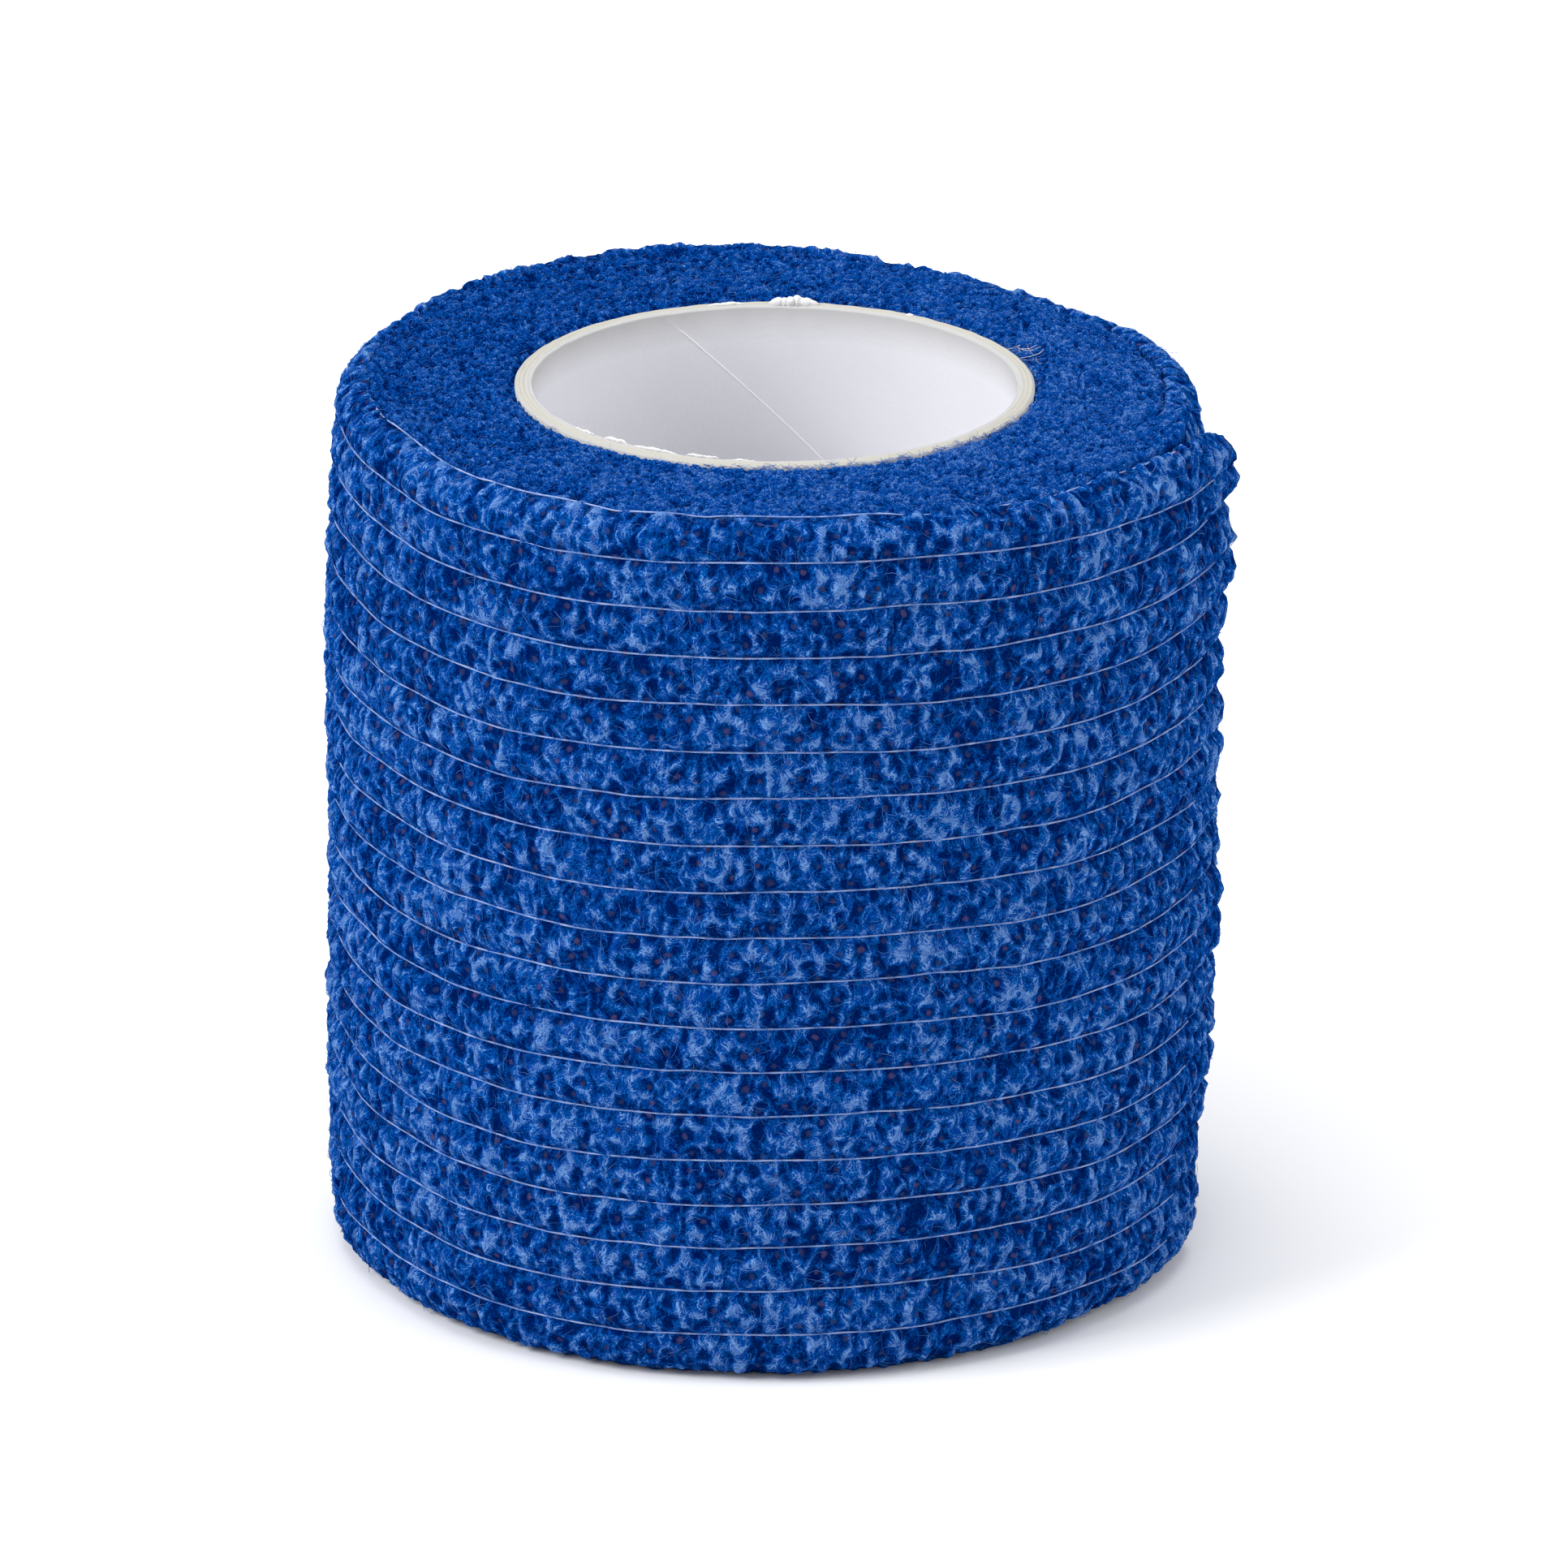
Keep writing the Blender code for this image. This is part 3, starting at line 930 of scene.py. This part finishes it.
def cloth_shader(nodes, mixed, fibre, low, high):
    """Colours of the cloth by how high each place is in its relief, darker low down as painted shade
    and paler high up as painted highlight, over random tone, and its finish.
    """
    colour = nodes.blend(nodes.spread(mixed, 0.18, 0.48), NAVY, BLUE)
    ragged = nodes.varied(mixed, fibre, 0.20)
    colour = nodes.blend(nodes.spread(ragged, low, high, 0.0, 0.72), colour, LAVENDER)
    # Painted highlight: the fibre streaks turn paler where the relief stands high.
    lit = nodes.maths("MULTIPLY", fibre, nodes.spread(mixed, 0.05, 0.60, 0.10, 0.80))
    brighter = nodes.blend(nodes.spread(ragged, low, high), BRIGHT_BLUE, PALE)
    nodes.shader.inputs["Roughness"].default_value = 0.95
    nodes.shader.inputs["Specular IOR Level"].default_value = 0.0
    return nodes.blend(lit, colour, brighter)


def wall_material():
    """Crinkled blue non-woven with glue dots: painted shade darkens its hollows and painted highlight
    pales where it stands up, over random tone.
    """
    nodes = Nodes("tape_wall")
    place = nodes.places("place")
    bent = nodes.warped(place, 1.1, 1.0, "2D")
    fibre = nodes.felt(bent, 0.80, 0.060, "2D")
    grain = nodes.cloud(place, 0.11, 1.0, "2D")
    patches = nodes.cloud(nodes.stretched(bent, 0.40, 0.66), 1.0, 2.0, "2D")
    # The level attribute makes hollows darker as painted shade and raised places paler as painted
    # highlight.
    mixed = nodes.varied(nodes.number("level"), patches, 0.60)
    mixed = nodes.varied(mixed, nodes.net(nodes.stretched(bent, 0.78, 1.10), 0.30), 0.36)
    mixed = nodes.varied(mixed, grain, 0.62)
    mixed = nodes.varied(mixed, nodes.cloud(place, 6.0, 1.0, "2D"), 0.35)
    colour = cloth_shader(nodes, mixed, fibre, 0.56, 0.80)
    parts = nodes.add("ShaderNodeSeparateXYZ", {0: nodes.places("cell")})
    away = nodes.maths("POWER", parts.outputs[0], 2.0)
    away = nodes.maths("SQRT", nodes.maths("ADD", away, nodes.maths("POWER", parts.outputs[1], 2.0)))
    dot = nodes.spread(nodes.varied(away, grain, 0.12), 0.20, 0.10, 0.0, 0.42)
    dot = nodes.maths("MULTIPLY", dot, nodes.spread(parts.outputs[2], 0.22, 0.40))
    glue = nodes.blend(nodes.spread(nodes.number("own"), 0.84, 0.94), GLUE, PINK_GLUE)
    nodes.feed(nodes.shader.inputs["Base Color"], nodes.blend(dot, colour, glue))
    height = nodes.maths("ADD", grain, nodes.maths("MULTIPLY", fibre, 0.35))
    nodes.bump(height, 0.7, 0.12)
    return nodes.material


def face_material():
    """The felted ends of the turns: fine dark and light granules, partly random tone and partly
    painted shade between granules and painted highlight on their tops.
    """
    nodes = Nodes("tape_end_face")
    where = nodes.add("ShaderNodeTexCoord").outputs["Object"]
    fibre = nodes.felt(nodes.warped(where, 0.9 * MM, 0.7 * MM), 0.36 * MM, 0.048 * MM)
    grain = nodes.cloud(where, 0.10 * MM, 1.0)
    # The level attribute carries painted shade and highlight from the relief, and painted light that
    # is paler towards one side.
    mixed = nodes.varied(nodes.number("level"), grain, 1.80)
    mixed = nodes.maths("SUBTRACT", mixed, 0.06)
    mixed = nodes.varied(mixed, nodes.cloud(where, 2.4 * MM, 1.0), 0.30)
    colour = cloth_shader(nodes, mixed, fibre, 0.74, 1.05)
    nodes.feed(nodes.shader.inputs["Base Color"], colour)
    nodes.bump(nodes.maths("ADD", grain, nodes.maths("MULTIPLY", fibre, 0.4)), 0.7, 0.12)
    return nodes.material


def fibre_material():
    """Loose fibres, from blue to pale lavender by their shade, which is random tone with painted
    highlight where they lie high.
    """
    nodes = Nodes("fibre")
    colour = nodes.blend(nodes.number("shade"), *FIBRE_COLOURS)
    nodes.feed(nodes.shader.inputs["Base Color"], colour)
    nodes.shader.inputs["Roughness"].default_value = 0.9
    nodes.shader.inputs["Specular IOR Level"].default_value = 0.0
    return nodes.material


def thread_material():
    """White elastic thread, tinted by the blue cloth that it is laminated into."""
    nodes = Nodes("elastic_thread")
    where = nodes.add("ShaderNodeTexCoord").outputs["Object"]
    tint = nodes.spread(nodes.cloud(where, 0.8 * MM, 2.0), 0.35, 0.65)
    colour = nodes.blend(tint, *THREAD_COLOURS)
    nodes.feed(nodes.shader.inputs["Base Color"], colour)
    nodes.shader.inputs["Roughness"].default_value = 0.6
    nodes.shader.inputs["Specular IOR Level"].default_value = 0.2
    nodes.bump(nodes.cloud(where, 0.08 * MM, 1.0), 0.4, 0.03)
    return nodes.material


def card_material():
    """Matt white paper lining over cream board, which shows in the cut ends."""
    nodes = Nodes("core_card")
    where = nodes.add("ShaderNodeTexCoord").outputs["Object"]
    fibre = nodes.cloud(where, 0.25 * MM, 3.0)
    broad = nodes.cloud(where, 6.0 * MM, 2.0)
    paper = nodes.blend(broad, *LINING_COLOURS)
    ply = nodes.varied(nodes.number("ply"), fibre, 0.25)
    from_middle = nodes.maths("ABSOLUTE", nodes.maths("SUBTRACT", ply, 0.55))
    cream = nodes.spread(from_middle, 0.15, 0.42, 1.0, 0.0)
    board = nodes.blend(cream, *BOARD_COLOURS)
    nodes.feed(nodes.shader.inputs["Base Color"], nodes.blend(nodes.number("cut"), paper, board))
    nodes.shader.inputs["Roughness"].default_value = 0.85
    nodes.shader.inputs["Specular IOR Level"].default_value = 0.15
    nodes.bump(fibre, 0.35, 0.04)
    return nodes.material


def paper_material(name, colours, roughening):
    """Soft white paper, from darker to lighter in fine specks."""
    nodes = Nodes(name)
    where = nodes.add("ShaderNodeTexCoord").outputs["Object"]
    fibre = nodes.cloud(where, 0.2 * MM, 3.0)
    nodes.feed(nodes.shader.inputs["Base Color"], nodes.blend(fibre, *colours))
    nodes.shader.inputs["Roughness"].default_value = 0.9
    nodes.bump(fibre, roughening, 0.12)
    return nodes.material


def build_roll():
    """All pieces of the roll, each riding on the one body."""
    wall_cloth = wall_material()
    face_cloth = face_material()
    fibres = fibre_material()
    torn = paper_material("torn_paper", TORN_COLOURS, 0.8)
    # The seam's paper is whiter than the lining, a painted highlight that makes it show as a light
    # line.
    lining = paper_material("lining_edge", EDGE_COLOURS, 0.1)
    far_side = outer_turn("outer_turn_far", FIRST_TURN, SPLIT_TURN, FAR_COLUMNS, wall_cloth)
    near_side = outer_turn("outer_turn_near", SPLIT_TURN, 0.0, NEAR_COLUMNS, wall_cloth)
    turns = inner_turns(face_cloth)
    top = end_face(face_cloth)
    tape_pieces = [
        far_side,
        near_side,
        turns,
        top,
        elastic_threads(thread_material()),
        wall_fibres("wall_fibres_far", -0.98, SPLIT_TURN, FAR_FIBRES, 5, fibres),
        wall_fibres("wall_fibres_near", SPLIT_TURN, 0.0, NEAR_FIBRES, 6, fibres),
        face_fibres("face_fibres", FACE_FIBRES, 7, fibres),
    ]
    core_pieces = [core_tube(card_material()), core_seam(lining), torn_paper(torn), wisps(torn)]
    for piece in tape_pieces + core_pieces:
        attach(piece, "root")
    for piece in (far_side, near_side, turns, top):
        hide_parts("wound_tape")
    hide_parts("core")


def floor():
    """A plain pale floor."""
    nodes = Nodes("floor")
    nodes.shader.inputs["Base Color"].default_value = (0.96, 0.96, 0.96, 1.0)
    nodes.shader.inputs["Roughness"].default_value = 0.9
    nodes.shader.inputs["Specular IOR Level"].default_value = 0.1
    bpy.ops.mesh.primitive_plane_add(size=40.0)
    plane = bpy.context.object
    plane.name = "floor"
    plane.data.materials.append(nodes.material)


def area_light(name, place, size, power, target):
    """A square lamp that faces a target."""
    light = bpy.data.lights.new(name, "AREA")
    light.size = size
    light.energy = power
    lamp = bpy.data.objects.new(name, light)
    lamp.location = place
    lamp.rotation_euler = (Vector(target) - Vector(place)).to_track_quat("-Z", "Y").to_euler()
    bpy.context.scene.collection.objects.link(lamp)


# Lamps, in rows of (name, place, size, power), all turned to the middle of the roll. Metres.
LAMPS = (
    ("key", (-0.72, -0.30, 0.62), 0.5, 7.0),
    ("fill", (0.78, -0.25, 0.45), 0.6, 2.6),
    ("top", (0.0, 0.1, 0.9), 0.6, 4.0),
)
LAMP_TARGET = (0.0, 0.0, 0.03)
SKY_STRENGTH = 0.62


def lights():
    """Soft white studio light from all round, a little stronger from above and the left."""
    world = bpy.data.worlds.new("studio")
    world.use_nodes = True
    sky = world.node_tree.nodes["Background"]
    sky.inputs[0].default_value = (1.0, 1.0, 1.0, 1.0)
    sky.inputs[1].default_value = SKY_STRENGTH
    bpy.context.scene.world = world
    for name, place, size, power in LAMPS:
        area_light(name, place, size, power, LAMP_TARGET)


# The camera's place from the roll's axis, the point that it looks at, and its lens
CAMERA_DISTANCE = 700.0
CAMERA_HEIGHT = 284.6
AIM_RIGHT = 0.65
AIM_HEIGHT = 26.2
CAMERA_ROLL = math.radians(0.35)
LENS = 304.5
SENSOR = 36.0


def camera():
    """The camera at the photograph's angle, tilted a little about its own view."""
    data = bpy.data.cameras.new("camera")
    data.lens = LENS
    data.sensor_width = SENSOR
    data.clip_start = 0.01
    data.clip_end = 100.0
    place = Vector((AXIS_X, AXIS_Y - CAMERA_DISTANCE, CAMERA_HEIGHT)) * MM
    aim = Vector((AXIS_X + AIM_RIGHT, AXIS_Y, AIM_HEIGHT)) * MM
    turned = (aim - place).to_track_quat("-Z", "Y").to_matrix().to_4x4()
    seen = bpy.data.objects.new("camera", data)
    seen.matrix_world = Matrix.Translation(place) @ turned @ Matrix.Rotation(CAMERA_ROLL, 4, "Z")
    bpy.context.scene.collection.objects.link(seen)
    bpy.context.scene.camera = seen


bpy.context.scene.view_settings.view_transform = "Standard"
build_roll()
floor()
lights()
camera()
